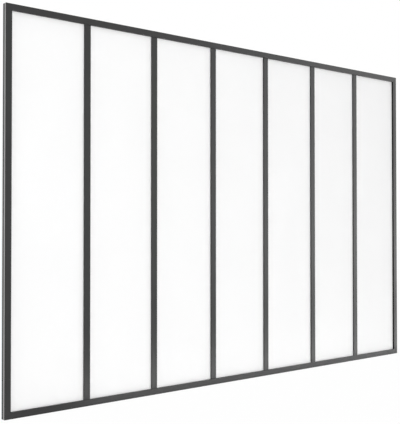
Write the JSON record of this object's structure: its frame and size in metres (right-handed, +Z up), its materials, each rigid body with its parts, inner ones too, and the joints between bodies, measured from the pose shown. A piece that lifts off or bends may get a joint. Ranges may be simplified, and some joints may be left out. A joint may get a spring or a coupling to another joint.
{
  "type": "workshop-style interior window",
  "caption": "Fixed workshop-style interior window: tall satin-glass panes in a slim dark mitred frame with T-section mullions, glazed from the rear.",
  "frame": {"origin": "underside of the bottom rail at mid length, on the line of the fixing holes", "axes": "+X along the wall to the right as seen from the front, +Y rearwards, +Z up; the front face looks towards -Y"},
  "size_m": [2.115, 0.022, 1.4],
  "materials": {
    "frame_paint": "satin charcoal powder coat",
    "satin_glass": "satin-etched toughened glass",
    "gasket": "matt black",
    "wall_seal": "matt light grey foam",
    "block": "matt",
    "cleat": "mill finish"
  },
  "bodies": {
    "root": {"bottom_rail": "frame_paint", "top_rail": "frame_paint", "left_jamb": "frame_paint", "right_jamb": "frame_paint", "mullion_1": "frame_paint", "mullion_2": "frame_paint", "mullion_3": "frame_paint", "mullion_4": "frame_paint", "mullion_5": "frame_paint", "mullion_6": "frame_paint", "pane_1": "satin_glass", "pane_2": "satin_glass", "pane_3": "satin_glass", "pane_4": "satin_glass", "pane_5": "satin_glass", "pane_6": "satin_glass", "pane_7": "satin_glass", "glazing_gasket_1": "gasket", "glazing_gasket_2": "gasket", "glazing_gasket_3": "gasket", "glazing_gasket_4": "gasket", "glazing_gasket_5": "gasket", "glazing_gasket_6": "gasket", "glazing_gasket_7": "gasket", "glazing_bead_1": "frame_paint", "glazing_bead_2": "frame_paint", "glazing_bead_3": "frame_paint", "glazing_bead_4": "frame_paint", "glazing_bead_5": "frame_paint", "glazing_bead_6": "frame_paint", "glazing_bead_7": "frame_paint", "wall_seal_bottom": "wall_seal", "wall_seal_top": "wall_seal", "wall_seal_left": "wall_seal", "wall_seal_right": "wall_seal", "setting_blocks": "block", "corner_cleats": "cleat"}
  },
  "joints": []
}
